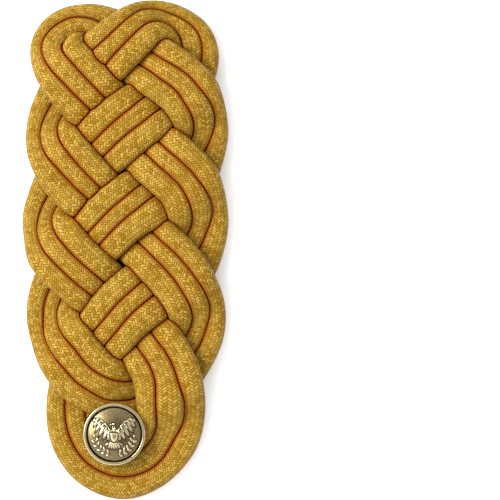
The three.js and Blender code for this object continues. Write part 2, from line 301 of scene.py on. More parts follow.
class KnotStageSettings(PropertyGroup):
    """Floor, lights and camera"""

    floor: FloatVectorProperty(
        name="Floor", description="Colour of the floor", default=(0.96, 0.96, 0.96), **COLOUR)
    camera_height: FloatProperty(
        name="Camera height", description="Height of the camera over the cords",
        default=1.2, unit="LENGTH")
    key_power: FloatProperty(
        name="Key light", description="Power of the light from the left", default=13.0)
    tent: FloatProperty(
        name="Tent", description="Strength of the soft light from all round", default=2.5)


# Curves in plan


def through(points, t):
    """Places on a closed smooth curve through the points, at t from 0 to 1."""
    n = len(points)
    p = (t % 1.0) * n
    i = np.floor(p).astype(int)
    w = (p - i)[:, None]
    a, b, c, d = (points[(i + k) % n] for k in (-1, 0, 1, 2))
    before, here, after = (
        np.sqrt(np.linalg.norm(end - start, axis=1))[:, None]
        for start, end in ((a, b), (b, c), (c, d))
    )
    here = np.where(here < 1e-4, 1.0, here)
    before = np.where(before < 1e-4, here, before)
    after = np.where(after < 1e-4, here, after)
    leave = ((b - a) / before - (c - a) / (before + here) + (c - b) / here) * here
    arrive = ((c - b) / here - (d - b) / (here + after) + (d - c) / after) * here
    square = -3 * b + 3 * c - 2 * leave - arrive
    cube = 2 * b - 2 * c + leave + arrive
    return b + leave * w + square * w**2 + cube * w**3


def smoothstep(value, low, high):
    share = np.clip((value - low) / (high - low), 0, 1)
    return share * share * (3 - 2 * share)


def closed_runs(points):
    """How far along a closed line each point lies, and the line's length."""
    steps = np.linalg.norm(np.roll(points, -1, axis=0) - points, axis=1)
    return np.concatenate([[0], np.cumsum(steps)[:-1]]), steps.sum()


def closed_tangents(points):
    along = np.roll(points, -1, axis=0) - np.roll(points, 1, axis=0)
    return along / np.linalg.norm(along, axis=1)[:, None]


class Band:
    """The way of the band in plan, in mm, with its passes over and under."""

    def __init__(self, fullness):
        self.fullness = fullness
        rows = [CROSSINGS[row] if isinstance(row, str) else row for row in ROUTE]
        points, widths = [], []
        self.pass_places = []
        self.pass_over = []
        for i, (name, row) in enumerate(zip(ROUTE, rows)):
            if isinstance(name, str):
                over = len(self.pass_places) % 2 == 0
                self.pass_places.append(i / len(ROUTE))
                self.pass_over.append(over)
                if not over:
                    before, after = rows[i - 1][2:], rows[(i + 1) % len(rows)][2:]
                    own = (UNDER_SHARE * (a + b) / 2 for a, b in zip(before, after))
                    row = UNDER_PASSES.get(name, (*row[:2], *own))
            points.append(row[:2])
            widths.append(row[2:])
        self.way = np.array(points) + SHIFT
        self.widths = np.array(widths)

    def plan(self, place, count):
        """One cord's middle line in plan and its half widths, at count places."""
        t = np.arange(count) / count
        centre = through(self.way, t)
        along = closed_tangents(centre)
        side = np.stack([along[:, 1], -along[:, 0]], axis=1)
        right, middle, left = through(self.widths, t).T
        own = {1: right, 0: middle, -1: left}[place]
        half = own * self.fullness / (1 + self.fullness if place else 2)
        offset = place * (middle / 2 + own - half)
        return t, centre + side * offset[:, None], half

    def is_over(self, t):
        apart = np.abs(np.array(self.pass_places) - t)
        return self.pass_over[int(np.argmin(np.minimum(apart, 1 - apart)))]


def plan_crossings(t, line, other):
    """Where a closed line crosses another in plan: the run along it, and its t there."""
    n = len(line)
    runs, _ = closed_runs(line)
    p, q = line, np.roll(line, -1, axis=0)
    r, s = other, np.roll(other, -1, axis=0)
    step, far = (q - p)[:, None], (s - r)[None]
    gap = r[None] - p[:, None]
    cross = step[..., 0] * far[..., 1] - step[..., 1] * far[..., 0]
    cross = np.where(np.abs(cross) < 1e-9, 1e-9, cross)
    u = (gap[..., 0] * far[..., 1] - gap[..., 1] * far[..., 0]) / cross
    v = (gap[..., 0] * step[..., 1] - gap[..., 1] * step[..., 0]) / cross
    index = np.arange(n)
    apart = np.abs(index[:, None] - index[None])
    one_bend = n // 60
    near = np.minimum(apart, n - apart) < one_bend
    hits = (u >= 0) & (u < 1) & (v >= 0) & (v < 1) & ~near
    i, j = np.nonzero(hits)
    return runs[i] + u[i, j] * np.linalg.norm(q[i] - p[i], axis=1), t[i]


def same_by_threes(over):
    """Each pass crosses three cords at one level: the crossings vote by threes."""
    n = len(over)
    choices = [
        [[(start + k + m) % n for m in range(3)] for k in range(0, n, 3)] for start in range(3)
    ]
    mixed = [sum(over[group[0]] != over[group[2]] for group in groups) for groups in choices]
    settled = list(over)
    for group in choices[mixed.index(min(mixed))]:
        for k in group:
            settled[k] = sum(over[m] for m in group) > 1
    return settled


def levels_along(band, name, lines, runs, length, line, settings):
    """The height of a cord's middle at each place along it, in mm."""
    t, own = lines[CORD_PLACES[name]]
    found = [plan_crossings(t, own, other) for _, other in lines.values()]
    at = np.concatenate([run for run, _ in found])
    spots = np.concatenate([spot for _, spot in found])
    order = np.argsort(at)
    _, own_length = closed_runs(own)
    at, spots = at[order] * length / own_length, spots[order]
    over = same_by_threes([band.is_over(spot) for spot in spots])

    low, high = settings.low_level / MM, settings.high_level / MM
    levels = np.empty(len(runs))
    following = np.searchsorted(at, runs, side="right") % len(at)
    for i, (run, k) in enumerate(zip(runs, following)):
        if over[k] == over[k - 1]:
            levels[i] = high if over[k] else low
            continue
        gap = (at[k] - at[k - 1]) % length
        rise = min(gap - 2 * LEVEL_STRETCH, settings.rise_length / MM)
        away = (at[k] - run if over[k] else run - at[k - 1]) % length
        half_way = line[np.searchsorted(runs, (at[k - 1] + gap / 2) % length) % len(line)]
        from_fold = np.hypot(*(half_way - np.array(FOLD_AT) - SHIFT))
        folds = name == "inner_cord" and from_fold < FOLD_REACH
        held = gap / 2 if folds else LEVEL_STRETCH
        levels[i] = high - (high - low) * smoothstep(away, held, LEVEL_STRETCH + rise)

    away = np.linalg.norm(line - (np.array(FOLD_AT) + SHIFT), axis=1)
    beside_fold = (levels - low) / (high - low) * smoothstep(away, *FOLD_FADE)
    levels += FOLD_RISE[name] * beside_fold

    away = np.linalg.norm(line - (np.array(BUTTON_AT) + SHIFT), axis=1)
    free = smoothstep(away, PRESSED_TO, PRESSED_FROM)
    return np.minimum(levels, PRESSED_LEVEL + (high - PRESSED_LEVEL) * free)


def cord_lines(settings):
    """Each cord's middle line in space with its half widths, in equal steps, in mm."""
    few = 8
    band = Band(settings.fullness)
    coarse = {place: band.plan(place, COARSE_PLACES)[:2] for place in CORD_PLACES.values()}
    cords = {}
    for name, place in CORD_PLACES.items():
        _, line, half = band.plan(place, FINE_PLACES)
        runs, length = closed_runs(line)
        levels = levels_along(band, name, coarse, runs, length, line, settings)
        points = np.column_stack([line, levels])
        runs, length = closed_runs(points)
        stitches = round(length * MM / settings.stitch_length)
        count = stitches * settings.stitch_sections
        wanted = np.arange(count) * length / count
        around = np.append(runs, length)
        middle = np.column_stack([np.interp(wanted, around, np.append(c, c[0])) for c in points.T])
        eased = settings.stiffness / MM * count / length
        for _ in range(round(2 * eased**2)):
            middle = (np.roll(middle, 1, axis=0) + 2 * middle + np.roll(middle, -1, axis=0)) / 4
        along = closed_tangents(middle)
        side = np.column_stack([along[:, 1], -along[:, 0], np.zeros(count)])
        side /= np.linalg.norm(side, axis=1)[:, None]
        turning = np.roll(along, -few, axis=0) - np.roll(along, few, axis=0)
        cords[name] = {
            "middle": middle,
            "along": along,
            "side": side,
            "up": np.cross(side, along),
            "half": np.interp(wanted, around, np.append(half, half[0])),
            "bend": np.einsum("ij,ij->i", turning, side) / (2 * few * length / count),
            "runs": wanted,
            "length": length,
            "stitches": stitches,
        }
    return cords


def nearness(points, others, half_height, power):
    """How near points lie to the nearest other cord, where 1 is on its surface."""
    gap = points[:, None] - others["middle"][None]
    half = others["half"]
    total = sum(
        np.abs(np.einsum("ijk,jk->ij", gap, others[way]) / reach) ** power
        for way, reach in (("side", half), ("up", half_height), ("along", half)))
    return total.min(axis=1) ** (1 / power)


def pressed_sections(cords, name, outline, half_height, power, floor):
    """A cord's sections in space, pressed by its neighbours, and how near each point is to one."""
    same_bend, in_reach, far = 9, 8.5, 9.0
    tightest, presses = 0.95, 4
    own = cords[name]
    step = 4
    pool = {
        key: np.concatenate([cord[key][::step] for cord in cords.values()])
        for key in ("middle", "side", "up", "along", "half", "runs")
    }
    is_own = np.concatenate([
        np.full(len(cord["runs"][::step]), other == name) for other, cord in cords.items()])

    sections, creases = [], []
    for i, middle in enumerate(own["middle"]):
        apart = np.abs(pool["runs"] - own["runs"][i])
        same_stretch = is_own & (np.minimum(apart, own["length"] - apart) < same_bend)
        close = (np.abs(pool["middle"] - middle).max(axis=1) < in_reach) & ~same_stretch
        across = outline[:, :1] * own["half"][i]
        across = across * np.minimum(1, tightest / np.maximum(across * own["bend"][i], 0.1))
        reach = across * own["side"][i] + outline[:, 1:] * own["up"][i] * half_height
        share = np.ones(len(outline))
        near = np.full(len(outline), far)
        if close.any():
            others = {key: part[close] for key, part in pool.items()}
            near = nearness(middle + reach, others, half_height, power)
            for _ in range(presses):
                now = nearness(middle + reach * share[:, None], others, half_height, power)
                share = np.where(now < share, (share + now) / 2, share)
        points = middle + reach * share[:, None]
        points[:, 2] = np.maximum(points[:, 2], floor)
        sections.append(points)
        creases.append(near)
    return np.array(sections), np.array(creases)


def smooth_round(values, times):
    """Evens out values along and round a cord."""
    for _ in range(times):
        values = (np.roll(values, 1, 0) + 2 * values + np.roll(values, -1, 0)) / 4
        values = (np.roll(values, 1, 1) + 2 * values + np.roll(values, -1, 1)) / 4
    return values


def braid(columns, stitches, lean):
    """Height from 0 to 1 of the braid: leaning stitches in columns that lean by turns."""
    column = np.floor(columns)
    across = columns - column - 0.5
    turn = column % 2
    phase = stitches + lean * np.where(turn == 0, across, -across) + turn / 2
    within = phase - np.floor(phase) - 0.5
    fall = 1.2
    return np.sqrt(np.clip(1 - (2 * within) ** 2, 0, 1)) * (1 - fall * across**2)


def cord_piece(cords, name, settings):
    """One braided cord, as a closed tube made from a grid."""
    cord = cords[name]
    count = len(cord["middle"])
    rounds = settings.faces_round // 1
    crowded = 0.5
    share = np.arange(rounds) / rounds - 0.5
    turns = share - crowded * np.sin(2 * np.pi * share) / (2 * np.pi)
    angle = 2 * np.pi * turns
    power = settings.squareness
    outline = np.column_stack([np.sin(angle), np.cos(angle)])
    outline /= ((np.abs(outline) ** power).sum(axis=1) ** (1 / power))[:, None]
    half_height = settings.half_height / MM
    felt_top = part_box("backing")[1].z / MM
    sections, near = pressed_sections(
        cords, name, outline, half_height, power, felt_top + 0.05)
    sections = np.stack([smooth_round(sections[..., k], 1) for k in range(3)], axis=-1)
    near = smooth_round(np.minimum(near, 2.0), 1)

    along = np.roll(sections, -1, 0) - np.roll(sections, 1, 0)
    across = np.roll(sections, -1, 1) - np.roll(sections, 1, 1)
    out = np.cross(across, along)
    out /= np.maximum(np.linalg.norm(out, axis=2), 1e-9)[..., None]
    stitches = cord["stitches"]
    columns = (turns + 0.5) * settings.braid_columns
    places = (np.arange(count) / count * stitches)[:, None]
    rise = braid(columns[None], places, settings.stitch_lean)
    free = smoothstep(near, 0.85, 1.15)
    level, least = 0.75, 0.35
    lift = (rise - level) * (least + (1 - least) * free) * settings.stitch_relief / MM
    sections = sections + out * lift[..., None]

    bm = bmesh.new()
    bm.loops.layers.uv.new("UVMap")
    # The near attribute also masks the painted shade between the cords in the material.
    near_layer = bm.verts.layers.float.new("near")
    bmesh.ops.create_grid(bm, x_segments=rounds, y_segments=count, size=1, calc_uvs=True)
    for vert in bm.verts:
        i = round((vert.co.y + 1) / 2 * count) % count
        j = round((vert.co.x + 1) / 2 * rounds) % rounds
        vert[near_layer] = near[i, j]
        vert.co = sections[i, j] * MM
    bmesh.ops.remove_doubles(bm, verts=[v for v in bm.verts if v.is_boundary], dist=1e-8)
    mesh = mesh_from(bm, name)
    uv = np.empty(len(mesh.loops) * 2)
    mesh.uv_layers["UVMap"].data.foreach_get("uv", uv)
    uv = uv.reshape(-1, 2)
    share_round = np.interp(uv[:, 0], np.arange(rounds + 1) / rounds, np.append(turns + 0.5, 1.0))
    uv[:, 0] = share_round * settings.braid_columns
    uv[:, 1] *= stitches
    mesh.uv_layers["UVMap"].data.foreach_set("uv", uv.ravel())
    mesh.shade_smooth()
    return mesh


# Materials


class Nodes:
    """A short way to build a material's node tree."""

    def __init__(self, name):
        self.material = bpy.data.materials.new(name)
        self.material.use_nodes = True
        self.tree = self.material.node_tree
        self.shader = self.tree.nodes["Principled BSDF"]

    def add(self, kind, **values):
        node = self.tree.nodes.new(kind)
        for key, value in values.items():
            setattr(node, key, value)
        return node

    def link(self, source, target):
        self.tree.links.new(source, target)

    def feed(self, value, socket):
        """Links a socket to a node's output, or sets it to a number or a colour."""
        if isinstance(value, bpy.types.NodeSocket):
            self.link(value, socket)
        elif isinstance(value, (int, float)):
            socket.default_value = value
        else:
            socket.default_value = (*value, 1)

    def math(self, operation, *inputs):
        node = self.add("ShaderNodeMath", operation=operation)
        for socket, value in zip(node.inputs, inputs):
            self.feed(value, socket)
        return node.outputs[0]

    def mix(self, factor, first, second):
        node = self.add("ShaderNodeMix", data_type="RGBA")
        for index, value in ((0, factor), (6, first), (7, second)):
            self.feed(value, node.inputs[index])
        return node.outputs[2]

    def noise(self, vector, scale, detail=2.0, roughness=0.5):
        node = self.add("ShaderNodeTexNoise")
        node.inputs["Scale"].default_value = scale
        node.inputs["Detail"].default_value = detail
        node.inputs["Roughness"].default_value = roughness
        self.link(vector, node.inputs["Vector"])
        return node.outputs["Fac"]

    def bump(self, height, strength, distance, normal=None):
        node = self.add("ShaderNodeBump")
        node.inputs["Strength"].default_value = strength
        node.inputs["Distance"].default_value = distance
        self.link(height, node.inputs["Height"])
        if normal is not None:
            self.link(normal, node.inputs["Normal"])
        return node.outputs["Normal"]

    def spread(self, value, low, high):
        node = self.add("ShaderNodeMapRange", interpolation_type="SMOOTHSTEP")
        node.inputs["From Min"].default_value = low
        node.inputs["From Max"].default_value = high
        self.link(value, node.inputs["Value"])
        return node.outputs["Result"]

    def finish(self, **values):
        """Feeds the shader's sockets, whose names have underscores for spaces here."""
        for key, value in values.items():
            self.feed(value, self.shader.inputs[key.replace("_", " ")])
        return self.material


def cord_material(settings):
    """Silky gold braid: leaning stitches of fine threads, with painted shade in the grooves,
    painted reddish-brown shade near and between the cords, and painted glints on some stitches.
    """
    n = Nodes("gold_braid")
    place = n.add("ShaderNodeTexCoord")
    split = n.add("ShaderNodeSeparateXYZ")
    n.link(place.outputs["UV"], split.inputs[0])
    column = n.math("FLOOR", split.outputs["X"])
    across = n.math("SUBTRACT", n.math("FRACT", split.outputs["X"]), 0.5)
    turn = n.math("FLOORED_MODULO", column, 2.0)
    side = n.math("MULTIPLY_ADD", turn, -2.0 * settings.stitch_lean, settings.stitch_lean)
    lean = n.math("MULTIPLY", across, side)
    phase = n.math("ADD", n.math("ADD", split.outputs["Y"], lean), n.math("MULTIPLY", turn, 0.5))
    within = n.math("SUBTRACT", n.math("FRACT", phase), 0.5)
    stitch = n.math("MULTIPLY_ADD", n.math("MULTIPLY", within, within), -4.0, 1.0)
    edge = n.math("MULTIPLY_ADD", n.math("MULTIPLY", across, across), -1.6, 1.0)
    height = n.math("MULTIPLY", n.math("SQRT", n.math("MAXIMUM", stitch, 0.0)), edge)
    threads = 4
    thread = n.math("SINE", n.math("MULTIPLY", phase, 2 * threads * math.pi))
    patches = n.noise(place.outputs["Object"], 260.0, 3.0)
    fibres = n.noise(place.outputs["Object"], 2600.0, 2.0)

    single = n.add("ShaderNodeTexWhiteNoise", noise_dimensions="2D")
    whole = n.add("ShaderNodeCombineXYZ")
    n.link(column, whole.inputs["X"])
    n.link(n.math("FLOOR", phase), whole.inputs["Y"])
    n.link(whole.outputs[0], single.inputs["Vector"])
    pale_glint, worn, gloss = (0.4, 0.26, 0.05), (0.3, 0.2, 0.025), (1.0, 0.75, 0.3)
    # Painted shade: reddish-brown colours for the sides of a cord near another cord, on the
    # stitches and in the grooves.
    red_shade, raised_red_shade = (0.15, 0.018, 0.0002), (0.23, 0.075, 0.001)
    # Painted shade in the grooves: the braid's low places take the darker groove gold.
    raised = n.spread(height, 0.2, 1.0)
    colour = n.mix(raised, settings.gold_shade, settings.gold)
    # Some stitches at random are paler: partly their own tone, partly painted glints on the raised
    # threads.
    stitch_tone_and_glint = n.math("MULTIPLY", n.math("MULTIPLY", single.outputs["Value"], raised), 0.8)
    colour = n.mix(stitch_tone_and_glint, colour, pale_glint)
    patchy = n.math("MULTIPLY", n.spread(patches, 0.45, 0.75), 0.15)
    colour = n.mix(patchy, colour, worn)
    near = n.add("ShaderNodeAttribute", attribute_name="near").outputs["Fac"]
    # Painted shade: the cords turn reddish brown as they come near another cord, by the near
    # attribute.
    near_cord_shade = n.mix(raised, red_shade, raised_red_shade)
    colour = n.mix(n.math("MULTIPLY", n.spread(near, 1.45, 1.0), 0.8), colour, near_cord_shade)
    # Painted shade between two cords: the dark reddish colour, darker still in the grooves between
    # stitches.
    deep = n.mix(raised, [0.5 * c for c in settings.crease_shade], settings.crease_shade)
    colour = n.mix(n.spread(near, 1.09, 0.99), colour, deep)
    matt = n.math("MULTIPLY_ADD", n.spread(near, 1.3, 1.0), 0.5, 0.32)
    big = n.bump(height, 0.9, 0.18 * MM)
    small = n.bump(n.math("ADD", thread, n.math("MULTIPLY", fibres, 1.5)), 0.35, 0.03 * MM, big)
    return n.finish(
        Base_Color=colour, Roughness=n.math("MULTIPLY_ADD", fibres, 0.25, matt), Normal=small,
        Specular_IOR_Level=0.16, Specular_Tint=gloss,
        Sheen_Weight=0.01, Sheen_Roughness=0.4, Sheen_Tint=gloss)


def felt_material(settings):
    """Dark navy felt: matted fibres with a soft nap."""
    n = Nodes("navy_felt")
    place = n.add("ShaderNodeTexCoord").outputs["Object"]
    fibres = n.noise(place, 3200.0, 5.0, 0.65)
    clumps = n.noise(place, 420.0, 3.0)
    colour = n.mix(n.spread(fibres, 0.4, 0.8), settings.navy, [3.2 * c for c in settings.navy])
    lint = (0.03, 0.022, 0.04)
    colour = n.mix(n.math("MULTIPLY", clumps, 0.4), colour, lint)
    nap = n.bump(n.math("ADD", fibres, clumps), 0.8, 0.12 * MM)
    return n.finish(
        Base_Color=colour, Roughness=0.95, Normal=nap, Sheen_Weight=0.2, Sheen_Roughness=0.6)


def gilt_material(settings, stippled):
    """Bright gilt, either polished, with painted shade at the feet of its relief, or stippled by
    the die, with painted shade in its pits.
    """
    n = Nodes("stippled_gilt" if stippled else "polished_gilt")
    place = n.add("ShaderNodeTexCoord").outputs["Object"]
    wear = n.noise(place, 700.0, 4.0)
    if stippled:
        dots = n.add("ShaderNodeTexVoronoi")
        dots.inputs["Scale"].default_value = 6000.0
        n.link(place, dots.inputs["Vector"])
        # Painted shade in the pits: away from a dot's middle, where the stipple sinks, it takes
        # the darker matt gilt.
        bright = [0.5 * c for c in settings.gilt]
        colour = n.mix(n.spread(dots.outputs["Distance"], 0.15, 0.6), bright, settings.gilt_shade)
        roughness = n.math("MULTIPLY_ADD", wear, 0.2, 0.15)
        normal = n.bump(dots.outputs["Distance"], 0.4, -0.03 * MM)
    else:
        colour = n.mix(n.spread(wear, 0.4, 0.8), settings.gilt, [0.8 * c for c in settings.gilt])
        # Painted shade: near-black gilt where the crest attribute is low, at the feet of the
        # relief and inside the rim.
        crest = n.add("ShaderNodeAttribute", attribute_name="crest").outputs["Fac"]
        recess_shade = (0.03, 0.018, 0.007)
        colour = n.mix(n.spread(crest, 0.5, 1.0), recess_shade, colour)
        roughness = n.math("MULTIPLY_ADD", wear, 0.16, 0.08)
        normal = n.bump(wear, 0.2, 0.02 * MM)
    return n.finish(Base_Color=colour, Metallic=1.0, Roughness=roughness, Normal=normal)


def floor_material(settings):
    return Nodes("pale_floor").finish(Base_Color=settings.floor, Roughness=0.9)


# Pieces


def mesh_from(bm, name):
    mesh = bpy.data.meshes.new(name)
    bm.to_mesh(mesh)
    bm.free()
    return mesh


def finished(name, mesh, node, slot, *materials):
    """Puts a mesh in the scene in place of a solid, with its materials."""
    piece = bpy.data.objects.new(name, mesh)
    bpy.context.scene.collection.objects.link(piece)
    for material in materials:
        mesh.materials.append(material)
    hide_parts(node)
    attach(piece, "root")
    return piece


def spun(bm, profile, steps):
    """Adds a closed shape spun about the button's middle, from radii and heights in mm."""
    verts = [bm.verts.new((radius, 0, level)) for radius, level in profile]
    edges = [bm.edges.new(pair) for pair in zip(verts, verts[1:])]
    bmesh.ops.spin(
        bm, geom=verts + edges, cent=(0, 0, 0), axis=(0, 0, 1), dvec=(0, 0, 0),
        angle=2 * math.pi, steps=steps, use_merge=True, use_duplicate=False)
    bmesh.ops.remove_doubles(bm, verts=bm.verts[:], dist=1e-5)
    bmesh.ops.recalc_face_normals(bm, faces=bm.faces[:])


def button_mesh(bm, name):
    """Moves a shape built in mm about the button's middle to its place."""
    at = np.array(BUTTON_AT) + SHIFT
    bmesh.ops.scale(bm, vec=(MM, MM, MM), verts=bm.verts[:])
    bmesh.ops.translate(bm, vec=(at[0] * MM, at[1] * MM, 0), verts=bm.verts[:])
    mesh = mesh_from(bm, name)
    mesh.shade_smooth()
    mesh.set_sharp_from_angle(angle=math.radians(55))
    return mesh


class ButtonFigure:
    """Builds the raised figure on the dome: bird, plain shield and two leafy sprigs."""

    def __init__(self, bm, settings):
        self.bm = bm
        self.crest = bm.verts.layers.float["crest"]
        self.ground = settings.ground_level / MM
        self.rise = settings.dome_rise / MM
        self.radius = settings.radius / MM

    def dome(self, x, y):
        return self.ground + self.rise * (1 - (x * x + y * y) / self.radius**2)

    def settle(self, verts, lift=0.0):
        """Bends new points on to the dome."""
        for vert in verts:
            vert.co.z += self.dome(vert.co.x, vert.co.y) + lift

    def petal(self, start, end, width, height, lift=0.0, point=0.0):
        """A rounded blade from start to end, for feathers and leaves."""
        (x0, y0), (x1, y1) = start, end
        length = math.hypot(x1 - x0, y1 - y0)
        made = bmesh.ops.create_uvsphere(self.bm, u_segments=14, v_segments=8, radius=1)["verts"]
        for vert in made:
            # Painted shade: crest runs from 1 at a blade's top to 0 at its foot, where the gilt is
            # coloured near-black.
            vert[self.crest] = max(vert.co.z, 0)
            narrow = 1 - point * max(vert.co.x, 0) ** 2
            vert.co *= Vector((length / 2, width / 2 * narrow, height))
        turn = Matrix.Rotation(math.atan2(y1 - y0, x1 - x0), 4, "Z")
        place = Matrix.Translation(((x0 + x1) / 2, (y0 + y1) / 2, 0))
        bmesh.ops.transform(self.bm, matrix=place @ turn, verts=made)
        self.settle(made, lift)

    def feather(self, start, end, width, height, lift=0.0):
        """A feather: a blade with a raised quill along it."""
        self.petal(start, end, width, height, lift, 0.35)
        self.petal(start, end, width * 0.22, height * 1.35, lift, 0.5)

    def wing(self, side):
        """A lifted wing: long feathers, two rows of short ones and the arm over them."""
        arm = [(0.8, 0.5), (1.5, 1.8), (2.5, 3.0), (3.6, 3.85), (4.6, 4.1)]
        tips = [(1.8, -1.8), (3.05, -1.65), (4.2, -0.9), (5.05, 0.25), (5.5, 1.6), (5.5, 3.0)]
        at, along = np.linspace(0, 1, len(tips)), np.linspace(0, 1, len(arm))
        roots = list(zip(*(np.interp(at, along, part) for part in zip(*arm))))

        def sided(p):
            return (side * p[0], p[1])

        def between(p, q, share):
            return (p[0] + (q[0] - p[0]) * share, p[1] + (q[1] - p[1]) * share)

        for root, tip in zip(roots, tips):
            self.feather(sided(between(root, tip, -0.12)), sided(tip), 1.2, 0.42)
        for share, width, lift in ((0.52, 0.95, 0.18), (0.27, 0.8, 0.32)):
            for k in range(len(tips) - 1):
                root = between(roots[k], roots[k + 1], 0.5)
                tip = between(tips[k], tips[k + 1], 0.5)
                self.petal(sided(root), sided(between(root, tip, share)), width, 0.4, lift, 0.2)
        for p, q in zip(arm, arm[1:]):
            self.petal(sided(between(p, q, -0.25)), sided(between(p, q, 1.25)), 0.66, 0.6, 0.1)

    def sprig(self, side):
        """A leafy sprig that curves up from below the tail."""
        radius, first, last, pairs = 5.15, -1.36, -0.2, 5
        spots = [first + (last - first) * k / pairs for k in range(pairs + 1)]

        def at(angle, away=0.0):
            return (side * math.cos(angle) * (radius + away), math.sin(angle) * (radius + away))

        for a, b in zip(spots, spots[1:]):
            self.petal(at(a - 0.02), at(b + 0.02), 0.3, 0.3)
        for k, angle in enumerate(spots[:-1]):
            self.petal(at(angle), at(angle + 0.2, 1.1), 0.8, 0.4, 0.05, 0.3)
            self.petal(at(angle + 0.05), at(angle + 0.27, -1.1), 0.8, 0.4, 0.05, 0.3)
        self.petal(at(spots[-1]), at(spots[-1] + 0.22), 0.6, 0.36, 0.05, 0.3)

    def shield(self):
        """A plain shield with a raised border."""
        half, top, side, point = 1.35, 0.85, -0.8, -2.5
        made = bmesh.ops.create_circle(self.bm, cap_ends=True, segments=64, radius=1)["verts"]
        made.sort(key=lambda vert: math.atan2(vert.co.y, vert.co.x))
        count = len(made)
        for k, vert in enumerate(made):
            share = k / count * 4
            if share < 1:
                x, y = half - 2 * half * share, top
            elif share < 1.5:
                x, y = -half, top + (side - top) * (share - 1) * 2
            elif share < 3.5:
                x = half * (share - 2.5)
                y = side + (point - side) * (1 - abs(x / half) ** 2.2) ** 0.8
            else:
                x, y = half, side + (top - side) * (share - 3.5) * 2
            vert.co = Vector((x, y, -0.3))
        everything = list(made)
        crests = [0.0] * count
        ring = list({e for v in made for e in v.link_edges})
        middle = Vector((0, (top + point) / 2 + 0.2, 0))
        last = 1.0
        # The last number of each ring is its crest: 0 paints a near-black shade line in the
        # border's groove.
        border = (
            (1.0, 0.55, 1), (0.96, 0.66, 1), (0.82, 0.66, 1),
            (0.77, 0.48, 0), (0.66, 0.46, 0), (0.62, 0.5, 1),
        )
        for size, level, crest in border:
            grown = bmesh.ops.extrude_edge_only(self.bm, edges=ring)["geom"]
            ring = [g for g in grown if isinstance(g, bmesh.types.BMEdge)]
            ring_verts = [g for g in grown if isinstance(g, bmesh.types.BMVert)]
            for vert in ring_verts:
                vert.co = middle + (vert.co - middle) * size / last
                vert.co.z = level
            last = size
            everything += ring_verts
            crests += [crest] * len(ring_verts)
        panel = bmesh.ops.holes_fill(self.bm, edges=ring, sides=count)["faces"]
        everything += bmesh.ops.poke(self.bm, faces=panel)["verts"]
        crests.append(1.0)
        for vert, crest in zip(everything, crests):
            vert[self.crest] = crest
        self.settle(everything)
        faces = {face for vert in everything for face in vert.link_faces}
        bmesh.ops.recalc_face_normals(self.bm, faces=list(faces))

    def bird(self):
        """Neck, head, beak, breast and tail."""
        for k, x in enumerate((-1.6, -0.8, 0.0, 0.8, 1.6)):
            self.feather((x * 0.35, -1.6), (x, -4.3 + 0.2 * abs(k - 2)), 0.9, 0.36)
        for side in (-1, 1):
            self.petal((side * 0.9, -1.9), (side * 2.6, -3.0), 0.5, 0.42, 0.05)
            self.petal((side * 2.4, -2.9), (side * 3.0, -3.7), 0.36, 0.4, 0.05)
            self.petal((side * 1.1, 0.2), (side * 0.5, 1.5), 0.9, 0.55)
        self.petal((0.05, 0.1), (-0.1, 2.4), 1.3, 0.6)
        for row, y in enumerate((1.0, 1.4, 1.8)):
            for x in (-0.3, 0.1):
                spot = x + (0.2 if row % 2 else 0.0)
                self.petal((spot, y + 0.4), (spot, y - 0.2), 0.42, 0.16, 0.48, 0.4)
        self.petal((0.5, 2.65), (-0.75, 2.75), 1.05, 0.65, 0.1)
        self.petal((-0.4, 2.78), (-1.3, 2.3), 0.62, 0.5, 0.12, 0.5)
        self.petal((-0.42, 2.88), (-0.18, 2.9), 0.22, 0.3, 0.55)


# Operators


class KNOT_OT_cords(Operator):
    """Plait the three braided cords"""

    bl_idname = "knot.cords"
    bl_label = "Cords"

    def execute(self, context):
        settings = context.scene.knot_cords
        material = cord_material(settings)
        cords = cord_lines(settings)
        for name in CORD_PLACES:
            mesh = cord_piece(cords, name, settings)
            finished("braided_" + name, mesh, name, "gold_cord", material)
        return {"FINISHED"}


class KNOT_OT_felt(Operator):
    """Cut the felt backing"""

    bl_idname = "knot.felt"
    bl_label = "Felt"

    def execute(self, context):
        settings = context.scene.knot_felt
        points = np.array(FELT_OUTLINE) + SHIFT
        count = 384
        outline = through(points, np.arange(count) / count)
        bm = bmesh.new()
        ring = bmesh.ops.create_circle(bm, segments=count, radius=1)["verts"]
        ring.sort(key=lambda vert: math.atan2(vert.co.y, vert.co.x))
        for vert, (x, y) in zip(ring, outline):
            vert.co = Vector((x * MM, y * MM, 0))
        x, y = (np.array(BUTTON_AT) + SHIFT) * MM
        bmesh.ops.create_circle(
            bm, segments=32, radius=settings.hole_radius, matrix=Matrix.Translation((x, y, 0)))
        bmesh.ops.triangle_fill(bm, use_beauty=True, edges=bm.edges[:])
        raised = bmesh.ops.extrude_face_region(bm, geom=bm.faces[:])["geom"]
        top = [g for g in raised if isinstance(g, bmesh.types.BMVert)]
        bmesh.ops.translate(bm, vec=(0, 0, settings.thickness), verts=top)
        bmesh.ops.recalc_face_normals(bm, faces=bm.faces[:])
        rims = [e for e in bm.edges if e.calc_face_angle(0) > 1]
        bmesh.ops.bevel(
            bm, geom=rims, offset=settings.edge, offset_type="OFFSET", segments=3,
            profile=0.5, affect="EDGES", material=-1)
        mesh = mesh_from(bm, "felt_backing")
        felt = finished("felt_backing", mesh, "backing", "navy_felt", felt_material(settings))
        return {"FINISHED"}


